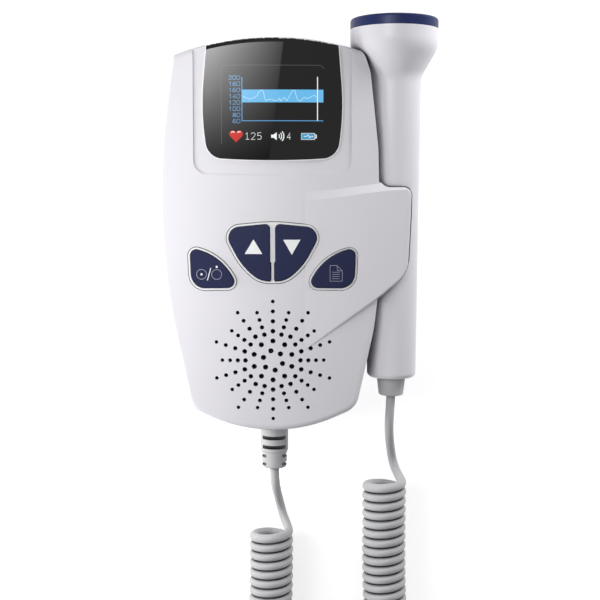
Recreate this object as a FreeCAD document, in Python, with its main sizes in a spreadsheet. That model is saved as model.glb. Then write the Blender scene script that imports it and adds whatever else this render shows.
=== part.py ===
import FreeCAD, Part
import math
import os
import re

# Hand-held fetal doppler: a case with a colour display, four keys and a
# loudspeaker, and a corded ultrasound probe that sits in a clip on its side.
# Millimetres. The case lies on its flat back: +X is to the right of the
# keys, +Y runs towards the display and +Z points out of the front. The
# origin is on the back face, on the case's middle line, near its middle.

V = FreeCAD.Vector
doc = FreeCAD.newDocument("FetalDoppler")

SIZES = (
    ("case_long", 146.5, "case length along its middle"),
    ("case_half_wide", 42.7, "half the case's greatest width"),
    ("case_high", 34.0, "highest point of the crowned front"),
    ("case_plane", 15.5, "height of the joint between the two covers"),
    ("wall", 2.4, "moulded wall"),
    ("crown_rx", 190.0, "crown radius of the front across the case"),
    ("crown_ry", 1400.0, "crown radius of the front along the case"),
    ("rim_round", 2.3, "rounding of the covers' rims"),
    ("dish_deep", 0.4, "shallow dish round the display"),
    ("wing_high", 33.9, "top of the flatter crown that the probe clip follows"),
    ("wing_rx", 460.0, "crown radius of the probe clip"),
    ("wing_under", 29.3, "underside of the probe clip"),
    ("ramp_wide", 2.9, "width of the ramp up to the probe clip"),
    ("probe_x", 45.5, "probe axis from the middle of the case"),
    ("probe_z", 18.5, "probe axis above the back face"),
    ("handle_r", 10.3, "probe handle radius below its head"),
    ("handle_end_r", 9.4, "probe handle radius at the cord end"),
    ("head_r", 16.5, "radius of the probe's head"),
    ("head_end", 78.2, "where the probe's head meets its cap"),
    ("handle_end", -53.5, "cord end of the probe's handle"),
    ("probe_wall", 2.0, "wall of the probe's half shells"),
    ("cradle_gap", 0.6, "room round the probe in the back cover"),
    ("groove_r", 12.75, "radius of the side groove in the front cover"),
    ("fit_gap", 0.2, "gap round keys, trim and the window"),
    ("trim_wide", 0.65, "width of the pale trim round the keys"),
    ("trim_flange", 1.2, "flange of the trim and keys under the cover"),
    ("trim_proud", 0.25, "trim above the cover"),
    ("key_proud", 0.75, "keys above the cover"),
    ("key_travel", 0.8, "key travel"),
    ("key_under", 26.6, "underside of a key's flange"),
    ("trim_under", 27.9, "underside of the trim's flange"),
    ("pane_thick", 1.6, "display window thickness"),
    ("board_z", 20.0, "underside of the circuit board"),
    ("board_thick", 1.6, "circuit board thickness"),
    ("grille_y", -45.0, "middle of the loudspeaker grille"),
    ("speaker_r", 20.0, "loudspeaker frame radius"),
    ("relief_z", 15.0, "height of the cable where it leaves the case"),
    ("cord_d", 3.6, "cord diameter"),
    ("curl_d", 17.9, "outer diameter of the curly part of the cord"),
    ("jack_r", 1.8, "bore radius of the earphone socket"),
    ("jack_x", -18.0, "earphone socket from the middle of the case"),
    ("jack_z", 9.0, "earphone socket above the back face"),
    ("door_half_wide", 21.0, "half the battery door's width"),
    ("door_top", -20.0, "where the battery door's inner edge lies"),
    ("door_thick", 1.5, "battery door thickness"),
)

sheet = doc.addObject("Spreadsheet::Sheet", "Sizes")
for row, (alias, value, note) in enumerate(SIZES, start=1):
    sheet.set(f"A{row}", note)
    sheet.set(f"B{row}", str(value))
    sheet.setAlias(f"B{row}", alias)
doc.recompute()


def size(alias):
    """One driving dimension, read from the sheet."""
    return float(sheet.get(alias))


def bind(thing, field, text):
    """Bind a property to the sheet: the words in text are its aliases."""
    thing.setExpression(field, re.sub(r"([a-z][a-z_]*)", r"Sizes.\1", text))


# ---------------------------------------------------------------- outlines
# A corner is (x, y, rounding). Outlines run round in order.


def mirrored(half):
    """Both halves of an outline that is the same left and right."""
    other = [(-x, y, r) for x, y, r in reversed(half) if abs(x) > 1e-6]
    return list(half) + other


def flipped(outline):
    """The same outline on the other side of the middle."""
    return [(-x, y, r) for x, y, r in reversed(outline)]


def turn_sign(outline):
    """1 for an outline that runs anticlockwise, otherwise -1."""
    area = 0.0
    for (x0, y0, _), (x1, y1, _) in zip(outline, outline[1:] + outline[:1]):
        area += x0 * y1 - x1 * y0
    return 1.0 if area > 0 else -1.0


def grown(outline, by):
    """An outline moved outwards by a distance, with its roundings."""
    sign = turn_sign(outline)
    result = []
    count = len(outline)
    for index, (x, y, r) in enumerate(outline):
        before = V(*outline[index - 1][:2], 0)
        here = V(x, y, 0)
        after = V(*outline[(index + 1) % count][:2], 0)
        first = (here - before).normalize()
        second = (after - here).normalize()
        normals = [V(d.y, -d.x, 0) * sign for d in (first, second)]
        middle = (normals[0] + normals[1]).normalize()
        corner = here + middle * (by / middle.dot(normals[0]))
        bend = first.cross(second).z * sign
        rounding = r + by if bend > 0 else r - by
        result.append((corner.x, corner.y, max(rounding, 0.0) if r else 0.0))
    return result


def rounded(outline, closed=True):
    """Lines and tangent arcs round an outline."""
    count = len(outline)
    starts, arcs, ends = [], [], []
    for index, (x, y, r) in enumerate(outline):
        here = V(x, y, 0)
        inner = closed or 0 < index < count - 1
        if not inner or r <= 0:
            starts.append(here)
            ends.append(here)
            arcs.append(None)
            continue
        to_before = (V(*outline[index - 1][:2], 0) - here).normalize()
        to_after = (V(*outline[(index + 1) % count][:2], 0) - here).normalize()
        half = to_before.getAngle(to_after) / 2
        reach = r / math.tan(half)
        centre = here + (to_before + to_after).normalize() * (r / math.sin(half))
        middle = centre + (here - centre).normalize() * r
        starts.append(here + to_before * reach)
        ends.append(here + to_after * reach)
        arcs.append(Part.Arc(starts[-1], middle, ends[-1]))
    edges = []
    for index in range(count):
        if arcs[index]:
            edges.append(arcs[index])
        following = (index + 1) % count
        if following == 0 and not closed:
            break
        if (starts[following] - ends[index]).Length > 1e-4:
            edges.append(Part.LineSegment(ends[index], starts[following]))
    return edges


HALF = size("case_half_wide")
CASE = mirrored([
    (0.0, 80.5, 110.0),
    (-37.1, 67.9, 2.4),
    (-HALF, 36.0, 255.0),
    (-HALF, -12.0, 230.0),
    (-31.6, -63.9, 7.9),
    (0.0, -77.3, 60.0),
])
WINDOW = mirrored([
    (-23.5, 80.0, 0.0),
    (-26.2, 47.0, 95.0),
    (-23.9, 30.2, 6.5),
    (0.0, 28.7, 290.0),
])
DISH = mirrored([
    (-29.2, 90.0, 0.0),
    (-29.2, 24.4, 5.0),
    (0.0, 23.8, 150.0),
])
SIDE_KEY = [
    (-30.8, -2.8, 2.3),
    (-30.2, -17.9, 5.2),
    (-12.7, -17.5, 2.4),
    (-19.3, -6.0, 20.0),
]
KEY_CURVE = [(-18.6, 4.3, 4.1), (-11.2, -9.6, 25.0), (-4.6, -15.0, 9.0)]
CENTRE_KEY = [
    (-1.1, 6.0, 1.6),
    *KEY_CURVE,
    (-0.7, -15.1, 0.5),
    (-0.7, -8.4, 0.0),
    (-1.1, -8.0, 0.0),
]
CENTRE_PAIR = mirrored([(0.0, 6.15, 60.0), *KEY_CURVE])
WING = [
    (12.0, 17.3, 0.0),
    (12.0, -41.6, 0.0),
    (40.0, -21.2, 40.0),
    (50.3, -12.6, 10.5),
    (51.6, 19.5, 3.0),
    (39.7, 19.5, 3.8),
    (39.7, 23.4, 0.0),
]
# Points of the ridge along the clip's top side, where a ramp leads down to the case.
RIDGE = ((6.0, 12.8), (16.0, 14.2), (26.0, 15.8), (36.0, 17.3), (44.0, 18.2), (54.0, 18.5))


# ----------------------------------------------------------------- features


def new_body(name):
    """A body that is one piece, or one tool, of the object."""
    body = doc.addObject("PartDesign::Body", name)
    body.Label = name
    return body


def new_sketch(body, role, edges, shift=(None, None, None)):
    """A sketch on one of the body's own planes, shifted by sheet values."""
    sketch = body.newObject("Sketcher::SketchObject", body.Name + "_sketch")
    plane = next(f for f in body.Origin.OriginFeatures if f.Role == role)
    sketch.AttachmentSupport = [(plane, "")]
    sketch.MapMode = "FlatFace"
    for axis, text in zip("xyz", shift):
        if text is not None:
            bind(sketch, "AttachmentOffset.Base." + axis, text)
    sketch.addGeometry(edges, False)
    return sketch


def pad(body, edges, low, high, taper=0.0):
    """Material between two heights inside an outline."""
    sketch = new_sketch(body, "XY_Plane", edges, (None, None, low))
    feature = body.newObject("PartDesign::Pad", body.Name + "_pad")
    feature.Profile = sketch
    bind(feature, "Length", f"{high} - ({low})")
    feature.TaperAngle = taper
    return feature


def pocket(body, edges, low, high, centre=(None, None)):
    """No material between two heights inside an outline."""
    sketch = new_sketch(body, "XY_Plane", edges, (*centre, low))
    feature = body.newObject("PartDesign::Pocket", body.Name + "_pocket")
    feature.Profile = sketch
    bind(feature, "Length", f"{high} - ({low})")
    feature.Reversed = True
    return feature


def crown(body, top, across, drop=0.0, above=True):
    """Trim a body to the crown of the front, from above or from below."""
    rx = size(across)
    ry = size("crown_ry")
    reach = size("case_long")
    end = (rx - ry) + math.sqrt((ry - drop) ** 2 - reach**2)
    far = rx + (reach if above else -reach)
    far = max(far, 20.0)
    arc = Part.Arc(V(-reach, end, 0), V(0, rx - drop, 0), V(reach, end, 0))
    edges = [arc]
    corners = [V(reach, end, 0), V(reach, far, 0), V(-reach, far, 0), V(-reach, end, 0)]
    edges += [Part.LineSegment(a, b) for a, b in zip(corners, corners[1:])]
    sketch = new_sketch(body, "YZ_Plane", edges, (None, f"{top} - {across}", None))
    feature = body.newObject("PartDesign::Groove", body.Name + "_crown")
    feature.Profile = sketch
    feature.ReferenceAxis = (sketch, ["H_Axis"])
    feature.Midplane = True
    feature.Angle = 60.0
    return feature


def revolve(body, outline, angle=360.0, backwards=False, along=("probe_x", "probe_z")):
    """A turned form about a line along +Y: corners are (radius, y, rounding)."""
    shift = (along[0], None, along[1])
    sketch = new_sketch(body, "XY_Plane", rounded(outline), shift)
    feature = body.newObject("PartDesign::Revolution", body.Name + "_turned")
    feature.Profile = sketch
    feature.ReferenceAxis = (sketch, ["V_Axis"])
    feature.Angle = angle
    feature.Reversed = backwards
    return feature


def upright(body, outline, x_text, y_text):
    """A turned form about an upright line: corners are (radius, z, rounding)."""
    shift = (x_text, None, f"-({y_text})")
    sketch = new_sketch(body, "XZ_Plane", rounded(outline), shift)
    feature = body.newObject("PartDesign::Revolution", body.Name + "_turned")
    feature.Profile = sketch
    feature.ReferenceAxis = (sketch, ["V_Axis"])
    feature.Angle = 360.0
    return feature


def box_edges(x0, y0, x1, y1):
    """The four sides of a rectangle."""
    return rounded([(x0, y0, 0), (x1, y0, 0), (x1, y1, 0), (x0, y1, 0)])


def circle(x, y, r):
    """A circle about a point."""
    return Part.Circle(V(x, y, 0), V(0, 0, 1), r)


def rim_edges(shape, keep):
    """Names of a shape's edges whose middle and ends pass a test."""
    names = []
    for index, edge in enumerate(shape.Edges, start=1):
        points = edge.discretize(5)
        if all(keep(p) for p in points):
            names.append(f"Edge{index}")
    return names


def fillet(body, base, radius_alias, keep):
    """Round the edges of a feature that pass a test."""
    doc.recompute()
    feature = body.newObject("PartDesign::Fillet", body.Name + "_fillet")
    feature.Base = (base, rim_edges(base.Shape, keep))
    bind(feature, "Radius", radius_alias)
    return feature


def boolean(kind, base, tool, name):
    """A Part::Cut, Part::Fuse or Part::Common of two objects."""
    feature = doc.addObject("Part::" + kind, name)
    feature.Base = base
    feature.Tool = tool
    return feature


def carried_on(source, name):
    """A body that goes on from another object's finished shape."""
    body = new_body(name)
    body.BaseFeature = source
    doc.recompute()
    return body


PARTS = {}


def keep_part(node, thing):
    """Name an object as one of the sub-parts."""
    thing.Label = node
    PARTS[node] = thing


# ------------------------------------------------------------------- probe

PROBE_FLARE = (
    (size("handle_r"), 60.8, 8.0),
    (size("head_r"), 71.3, 10.0),
)


CRADLE_R = size("handle_r") + size("cradle_gap")
CRADLE_HEAD_R = size("head_r") + size("cradle_gap")
BACK_GROOVE = (
    (CRADLE_R, -100.0, 0.0),
    (CRADLE_R, 57.0, 8.0),
    (CRADLE_HEAD_R, 72.0, 4.0),
    (CRADLE_HEAD_R, 110.0, 0.0),
)
GROOVE_R = size("groove_r")
FRONT_GROOVE = (
    (GROOVE_R, -100.0, 0.0),
    (GROOVE_R, 34.0, 60.0),
    (GROOVE_R + 1.5, 61.5, 10.0),
    (GROOVE_R + 4.6, 74.0, 4.0),
    (GROOVE_R + 4.6, 110.0, 0.0),
)


def probe_tool(name, groove, more=0.0):
    """The room round the probe as a solid, and wider by some amount."""
    body = new_body(name)
    sides = [(r + more, y, rounding) for r, y, rounding in groove]
    revolve(body, [(0.0, groove[0][1], 0.0), *sides, (0.0, groove[-1][1], 0.0)])
    return body


def probe_shell(name, backwards):
    """Half of the probe's hollow handle and head, split level with its axis."""
    wall = size("probe_wall")
    end = size("handle_end")
    rim = size("head_end")
    bore = 5.2
    outside = [(size("handle_end_r"), end, 1.9), *PROBE_FLARE]
    inside = [
        (size("head_r") - wall, 72.6, 1.0),
        (size("handle_r") - wall, 62.3, 3.0),
        (size("handle_end_r") - wall, end + wall, 0.5),
    ]
    outline = [(bore, end, 0.0), *outside]
    outline += [(size("head_r"), rim, 0.0), (size("head_r") - wall, rim, 0.0)]
    outline += [*inside, (bore, end + wall, 0.0)]
    body = new_body(name)
    revolve(body, outline, 180.0, backwards)
    return body


def make_probe():
    keep_part("probe_front_shell", probe_shell("probe_front", True))
    back = probe_shell("probe_back", False)
    rib = [box_edges(-3.5, y, 3.5, y + 2.0) for y in (-26.0, 44.0)]
    edges = [edge for group in rib for edge in group]
    sketch = new_sketch(back, "XY_Plane", edges, ("probe_x", None, "probe_z - 8.3"))
    ribs = back.newObject("PartDesign::Pad", "probe_ribs")
    ribs.Profile = sketch
    ribs.Length = 7.7
    keep_part("probe_back_shell", back)

    cap = new_body("cap")
    end = size("head_end")
    spigot = size("head_r") - size("probe_wall") - 0.1
    revolve(cap, [
        (0.0, end - 3.0, 0.0),
        (spigot, end - 3.0, 0.0),
        (spigot, end, 0.0),
        (size("head_r"), end, 0.0),
        (size("head_r"), end + 3.9, 1.0),
        (0.0, end + 4.6, 0.0),
    ])
    keep_part("probe_cap", cap)

    backing = new_body("backing")
    revolve(backing, [
        (0.0, end - 8.4, 0.0),
        (10.5, end - 8.4, 0.0),
        (10.5, end - 4.0, 0.0),
        (0.0, end - 4.0, 0.0),
    ])
    keep_part("transducer_backing", backing)

    crystals = new_body("crystals")
    crystals.AllowCompound = True
    revolve(crystals, [
        (0.0, end - 4.0, 0.0),
        (11.0, end - 4.0, 0.0),
        (11.0, end - 3.0, 0.0),
        (0.0, end - 3.0, 0.0),
    ])
    line = box_edges(-0.5, 60.0, 0.5, 90.0)
    slit = new_sketch(crystals, "XY_Plane", line, ("probe_x", None, "probe_z"))
    cut = crystals.newObject("PartDesign::Pocket", "crystal_slit")
    cut.Profile = slit
    cut.Midplane = True
    cut.Length = 40.0
    keep_part("piezo_crystals", crystals)

    board = new_body("probe_pcb")
    edges = rounded([(39.7, -34.0, 1), (51.3, -34.0, 1), (51.3, 52.0, 1), (39.7, 52.0, 1)])
    pad(board, edges, "probe_z - 0.6", "probe_z + 0.6")
    keep_part("probe_board", board)

    collar = new_body("collar")
    low = size("handle_end")
    revolve(collar, [
        (0.0, low - 7.2, 0.0),
        (4.75, low - 7.2, 0.8),
        (5.55, low, 0.0),
        (4.9, low, 0.0),
        (4.9, low + 2.1, 0.0),
        (6.6, low + 2.1, 0.0),
        (6.6, low + 3.6, 0.0),
        (0.0, low + 3.6, 0.0),
    ])
    keep_part("probe_collar", collar)


# ------------------------------------------------------------- front cover

SCREWS = ((-34.5, 50.0), (26.5, 58.0), (-25.5, -58.5), (25.0, -58.5))
BOARD_POSTS = ((-27.0, 62.0), (-27.0, -16.0), (19.0, 62.0), (19.0, -16.0))
RELIEF_HOLE_R = 3.7


def high_rim(p):
    """On the crowned front's outer edge."""
    return p.z > size("case_plane") + 6.0


def case_tool(name, inset, low, high):
    body = new_body(name)
    pad(body, rounded(grown(CASE, -inset)), low, high)
    return body


def cable_hole(name):
    """The hole that the cable's strain relief passes through the case by."""
    tool = new_body(name)
    revolve(tool, [(0, -90, 0), (RELIEF_HOLE_R, -90, 0), (RELIEF_HOLE_R, -60, 0), (0, -60, 0)],
            along=(None, "relief_z"))
    return tool


def trimmed_tool(name, outline, drop):
    """A cutter that follows the crown at a depth below it."""
    tool = new_body(name)
    pad(tool, rounded(outline), "case_plane", "case_high + 12")
    crown(tool, "case_high", "crown_rx", drop, above=False)
    return tool


def grille_holes(body):
    """Six holes in the middle, then ten long and ten short spokes of holes."""
    turn = math.pi / 5

    def holes(angle, first, step, count, wide, shrink):
        for index in range(count):
            r = first + step * index
            x, y = r * math.cos(angle), r * math.sin(angle)
            yield circle(x, y, (wide - shrink * index) / 2)

    centre = [next(holes(math.radians(42) + index * math.pi / 3, 3.75, 0, 1, 2.0, 0))
              for index in range(6)]
    spokes = list(holes(turn / 2, 7.4, 3.72, 5, 1.95, 0.14))
    spokes += list(holes(0.0, 10.3, 2.9, 4, 1.75, 0.12))
    shift = (None, "grille_y", "case_high - 12")
    for name, edges in (("middle", centre), ("spokes", spokes)):
        sketch = new_sketch(body, "XY_Plane", edges, shift)
        feature = body.newObject("PartDesign::Pocket", "grille_" + name)
        feature.Profile = sketch
        feature.Reversed = True
        feature.Length = 20.0
        body.Tip = feature
        doc.recompute()
    pattern = body.newObject("PartDesign::PolarPattern", "grille_pattern")
    pattern.Originals = [feature]
    pattern.Axis = (sketch, ["N_Axis"])
    pattern.Angle = 360.0
    pattern.Occurrences = 10
    body.Tip = pattern
    return pattern


def crown_z(x, top, across):
    """Height of a crown across the case."""
    return top - across + math.sqrt(across**2 - x**2)


def cut_ramp(wing):
    """Take away what lies above the ramp, through upright sections along its ridge."""
    sections = []
    for x, y in RIDGE:
        ridge_z = crown_z(x, size("wing_high"), size("wing_rx"))
        toe_z = crown_z(x, size("case_high"), size("crown_rx"))
        slope = (ridge_z - toe_z) / size("ramp_wide")
        before, after, above = 1.5, 8.0, 45.0
        corners = [V(y - before, ridge_z + before * slope, 0), V(y + after, ridge_z - after * slope, 0),
                   V(y + after, above, 0), V(y - before, above, 0)]
        sides = [Part.LineSegment(a, b) for a, b in zip(corners, corners[1:] + corners[:1])]
        sections.append(new_sketch(wing, "YZ_Plane", sides, (None, None, str(x))))
    loft = wing.newObject("PartDesign::SubtractiveLoft", "wing_ramp")
    loft.Profile = sections[0]
    loft.Sections = sections[1:]
    wing.Tip = loft


def wing_block():
    """The clip that reaches over the probe, raised on a flatter crown."""
    wing = new_body("wing")
    pad(wing, rounded(WING), "wing_under", "case_high + 10")
    top = crown(wing, "wing_high", "wing_rx")
    doc.recompute()
    tip = wing.newObject("PartDesign::Fillet", "wing_tip")
    tip.Base = (top, rim_edges(top.Shape, lambda p: p.z > 30.2 and p.x > 46.0))
    tip.Radius = 0.8
    wing.Tip = tip
    cut_ramp(wing)
    return wing


def front_block():
    """The front cover's outer form, before it is hollowed."""
    outer = case_tool("front_outer", 0.0, "case_plane", "case_high + 10")
    top = crown(outer, "case_high", "crown_rx")
    fillet(outer, top, "rim_round", high_rim)
    return outer


def front_ribs():
    """Screw bosses and the loudspeaker's ring, up into the skin."""
    ribs = new_body("front_ribs")
    ribs.AllowCompound = True
    posts = [circle(x, y, 3.4) for x, y in SCREWS]
    pad(ribs, posts, "case_plane", "case_high + 10")
    ring = [circle(0, size("grille_y"), size("speaker_r") + extra) for extra in (0.3, 1.6)]
    pad(ribs, ring, "case_high - 9.5", "case_high + 10")
    crown(ribs, "case_high", "crown_rx", 1.0)
    return ribs


def key_outlines():
    """Each key's outline by node name."""
    return {
        "button_power": SIDE_KEY,
        "button_up": CENTRE_KEY,
        "button_down": flipped(CENTRE_KEY),
        "button_record": flipped(SIDE_KEY),
    }


TRIM_KEYS = {
    "trim_left": ("button_power",),
    "trim_centre": ("button_up", "button_down"),
    "trim_right": ("button_record",),
}


def trim_outlines():
    """Each trim's inner form by node name, before the gap round its keys."""
    return {
        "trim_left": SIDE_KEY,
        "trim_centre": CENTRE_PAIR,
        "trim_right": flipped(SIDE_KEY),
    }


def make_front():
    outer = front_block()
    groove = probe_tool("front_groove", FRONT_GROOVE)
    room = case_tool("front_room", size("wall"), "case_plane - 1", "case_high + 10")
    crown(room, "case_high", "crown_rx", size("wall"))
    keep_out = probe_tool("front_keep_out", FRONT_GROOVE, size("wall"))
    hollow = boolean("Cut", room, keep_out, "front_hollow")
    grooved = boolean("Cut", outer, groove, "front_grooved")
    winged = boolean("Fuse", grooved, wing_block(), "front_winged")
    shell = boolean("Cut", winged, hollow, "front_shell")
    ribbed = boolean("Fuse", shell, front_ribs(), "front_ribbed")

    gap = size("fit_gap")
    trim = size("trim_wide")
    cutters = [
        trimmed_tool("window_recess", grown(WINDOW, gap), size("pane_thick") + 0.05),
        trimmed_tool("dish_recess", DISH, size("dish_deep")),
        cable_hole("front_cable_hole"),
    ]
    for node, outline in trim_outlines().items():
        tool = new_body(node + "_opening")
        pad(tool, rounded(grown(outline, 2 * gap + trim)), "case_plane", "case_high + 12")
        cutters.append(tool)
    all_cutters = doc.addObject("Part::MultiFuse", "front_cutters")
    all_cutters.Shapes = cutters
    opened = boolean("Cut", ribbed, all_cutters, "front_opened")

    cover = carried_on(opened, "front_finish")
    aperture = rounded([(-19.4, 34.8, 2), (19.4, 34.8, 2), (19.4, 65.0, 2), (-19.4, 65.0, 2)])
    cover.Tip = pocket(cover, aperture, "case_plane", "case_high + 5")
    doc.recompute()
    pilots = [circle(x, y, 1.25) for x, y in SCREWS]
    cover.Tip = pocket(cover, pilots, "case_plane - 1", "case_plane + 10")
    doc.recompute()
    grille_holes(cover)
    keep_part("front_cover", cover)
    return outer


def make_window(outer):
    """The black-bordered pane, flush with the crown and over the case's end."""
    block = trimmed_tool("pane_block", WINDOW, size("pane_thick"))
    keep_part("display_window", boolean("Common", block, outer, "pane"))


def make_keys():
    gap = size("fit_gap")
    flange = size("trim_flange")
    proud = size("key_proud")
    keys = key_outlines()
    for node, outline in trim_outlines().items():
        ring = grown(outline, gap + size("trim_wide"))
        body = new_body(node + "_body")
        pad(body, rounded(grown(ring, flange)), "trim_under", "case_high + 10")
        crown(body, "case_high", "crown_rx", size("wall") + 0.03)
        pad(body, rounded(ring), "trim_under", "case_high + 10")
        crown(body, "case_high", "crown_rx", -size("trim_proud"))
        edges = [e for key in TRIM_KEYS[node] for e in rounded(grown(keys[key], gap))]
        body.Tip = pocket(body, edges, "trim_under - 1", "case_high + 5")
        keep_part(node, body)
    for node, outline in keys.items():
        body = new_body(node + "_body")
        if "power" in node or "record" in node:
            foot = grown(outline, 1.0)
        else:
            side = -1.0 if "up" in node else 1.0
            half = CENTRE_KEY[:5]
            foot = [(min(x, -0.35), y, r) for x, y, r in grown(half, 1.0)]
            foot = foot if side < 0 else flipped(foot)
        pad(body, rounded(foot), "key_under", "trim_under - 0.2")
        pad(body, rounded(outline), "key_under", "case_high + 10")
        top = crown(body, "case_high", "crown_rx", -proud)
        doc.recompute()
        soft = body.newObject("PartDesign::Fillet", node + "_soft")
        soft.Base = (top, rim_edges(top.Shape, lambda p: p.z > 31.0))
        soft.Radius = 0.35
        keep_part(node, body)


# -------------------------------------------------------------- back cover

DOOR_END = -90.0
CLIP_FLOOR = [
    (30.0, -15.0, 0.0),
    (30.0, 21.0, 0.0),
    (52.5, 21.0, 3.0),
    (52.5, -15.0, 3.0),
]


def door_edges(extra):
    """The battery door's outline, which runs out through the case's end."""
    half = size("door_half_wide") + extra
    top = size("door_top") + extra
    return rounded([(-half, DOOR_END, 0), (half, DOOR_END, 0), (half, top, 2), (-half, top, 2)])


def back_posts():
    """Screw tubes, circuit board posts, the battery's box and the socket's step."""
    posts = new_body("back_posts")
    posts.AllowCompound = True
    pad(posts, [circle(x, y, 3.7) for x, y in SCREWS], "wall - 1", "case_plane - 0.1")
    pad(posts, [circle(x, y, 2.6) for x, y in BOARD_POSTS], "wall - 1", "board_z")
    pad(posts, box_edges(-20.0, -65.0, 20.0, -20.0), "wall - 1", "wall + 10.2")
    step = size("jack_x")
    pad(posts, box_edges(step - 4.0, 59.5, step + 4.0, 68.7), "wall - 1", "jack_z - 4")
    return posts


def jack_hole(name, radius, low_y, high_y):
    tool = new_body(name)
    revolve(tool, [(0, low_y, 0), (radius, low_y, 0), (radius, high_y, 0), (0, high_y, 0)],
            along=("jack_x", "jack_z"))
    return tool


def make_back():
    outer = new_body("back_outer")
    base = pad(outer, rounded(CASE), "0", "case_plane")
    outer.Tip = fillet(outer, base, "rim_round", lambda p: p.z < 0.01)
    doc.recompute()
    floor = new_body("clip_floor")
    slab = pad(floor, rounded(CLIP_FLOOR), "0", "probe_z - 8.2")
    floor.Tip = fillet(floor, slab, "rim_round", lambda p: p.z < 0.01 and p.x > 31.0)
    doc.recompute()
    clipped = boolean("Fuse", outer, floor, "back_clipped")

    cradle = probe_tool("back_groove", BACK_GROOVE)
    room = case_tool("back_room", size("wall"), "wall", "case_plane + 1")
    keep_out = probe_tool("back_keep_out", BACK_GROOVE, size("wall"))
    under = new_body("back_under_clip")
    pad(under, box_edges(36.5, -80.0, 60.0, 80.0), "0", "case_plane + 2")
    narrow = boolean("Cut", room, under, "back_narrow_room")
    hollow = boolean("Cut", narrow, keep_out, "back_hollow")
    shell = boolean("Cut", clipped, hollow, "back_shell")
    posted = boolean("Fuse", shell, back_posts(), "back_posted")
    cutters = doc.addObject("Part::MultiFuse", "back_cutters")
    cutters.Shapes = [cradle, cable_hole("back_cable_hole"), jack_hole("back_jack_hole", 3.2, 68.9, 90)]
    opened = boolean("Cut", posted, cutters, "back_opened")

    cover = carried_on(opened, "back_finish")
    steps = (
        (door_edges(0.15), "-1", "door_thick + 0.1"),
        (box_edges(-18.2, -63.2, 18.2, -22.0), "-1", "wall + 8.6"),
        ([circle(x, y, 2.6) for x, y in SCREWS], "-1", "wall + 3.6"),
        ([circle(x, y, 1.4) for x, y in SCREWS], "-1", "case_plane + 1"),
    )
    for edges, low, high in steps:
        cover.Tip = pocket(cover, edges, low, high)
        doc.recompute()
    keep_part("back_cover", cover)

    door = new_body("door_block")
    pad(door, door_edges(0.0), "-1", "door_thick")
    grips = [e for row in range(5) for e in box_edges(-9.0, 2.4 * row, 9.0, 2.4 * row + 1.2)]
    door.Tip = pocket(door, grips, "-1", "door_thick / 2", (None, "door_top - 42"))
    keep_part("battery_door", boolean("Common", door, outer, "door"))


# ------------------------------------------------------------ inner pieces


def block(node, edges, low, high, more=()):
    """A piece made of one outline between two heights, and further ones on it."""
    body = new_body(node + "_body")
    body.AllowCompound = True
    pad(body, edges, low, high)
    for next_edges, next_low, next_high in more:
        body.Tip = pad(body, next_edges, next_low, next_high)
    keep_part(node, body)
    return body


def frame_edges(x, low_y, high_y, inner):
    """A rectangle with a rectangular window in it."""
    y0, y1 = low_y + inner, high_y - inner
    return box_edges(-x, low_y, x, high_y) + box_edges(-x + inner, y0, x - inner, y1)


def make_electronics():
    board = [(-30, -21, 1.5), (22.7, -21, 1.5), (22.7, 66, 1.5), (-30, 66, 1.5)]
    block("main_board", rounded(board), "board_z", "board_z + board_thick")
    top = "board_z + board_thick"
    block("display_frame", frame_edges(22.4, 30.6, 67.8, 2.0), top, f"{top} + 3.2")
    block("display_module", box_edges(-21.4, 31.6, 21.4, 66.8), f"{top} + 3.2", f"{top} + 6.2")
    gasket = block("display_gasket", frame_edges(21.4, 31.6, 66.8, 1.4),
                   f"{top} + 6.2", "case_high + 5")
    crown(gasket, "case_high", "crown_rx", size("wall") + 0.03)
    centres = ((-23.0, -11.5), (-8.5, -3.0), (8.5, -3.0), (19.2, -12.5))
    boxes = [e for x, y in centres for e in box_edges(x - 3, y - 3, x + 3, y + 3)]
    plungers = [circle(x, y, 1.6) for x, y in centres]
    more = [(plungers, f"{top} + 3.4", "key_under - key_travel - 0.1")]
    block("tact_switches", boxes, top, f"{top} + 3.4", more)
    battery = [(-17.5, -62.6, 1.5), (17.5, -62.6, 1.5), (17.5, -22.6, 1.5), (-17.5, -22.6, 1.5)]
    block("battery_pack", rounded(battery), "door_thick", "wall + 8.4")

    jack = new_body("earphone_jack_body")
    pad(jack, box_edges(-22.0, 59.7, -14.0, 68.7), "jack_z - 4", "jack_z + 4")
    revolve(jack, [(0, 68.2, 0), (3.0, 68.2, 0), (3.0, 72.1, 0.3), (0, 72.1, 0)],
            along=("jack_x", "jack_z"))
    bore = jack_hole("earphone_bore", size("jack_r"), 60.2, 80.0)
    keep_part("earphone_jack", boolean("Cut", jack, bore, "bored_jack"))


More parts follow.
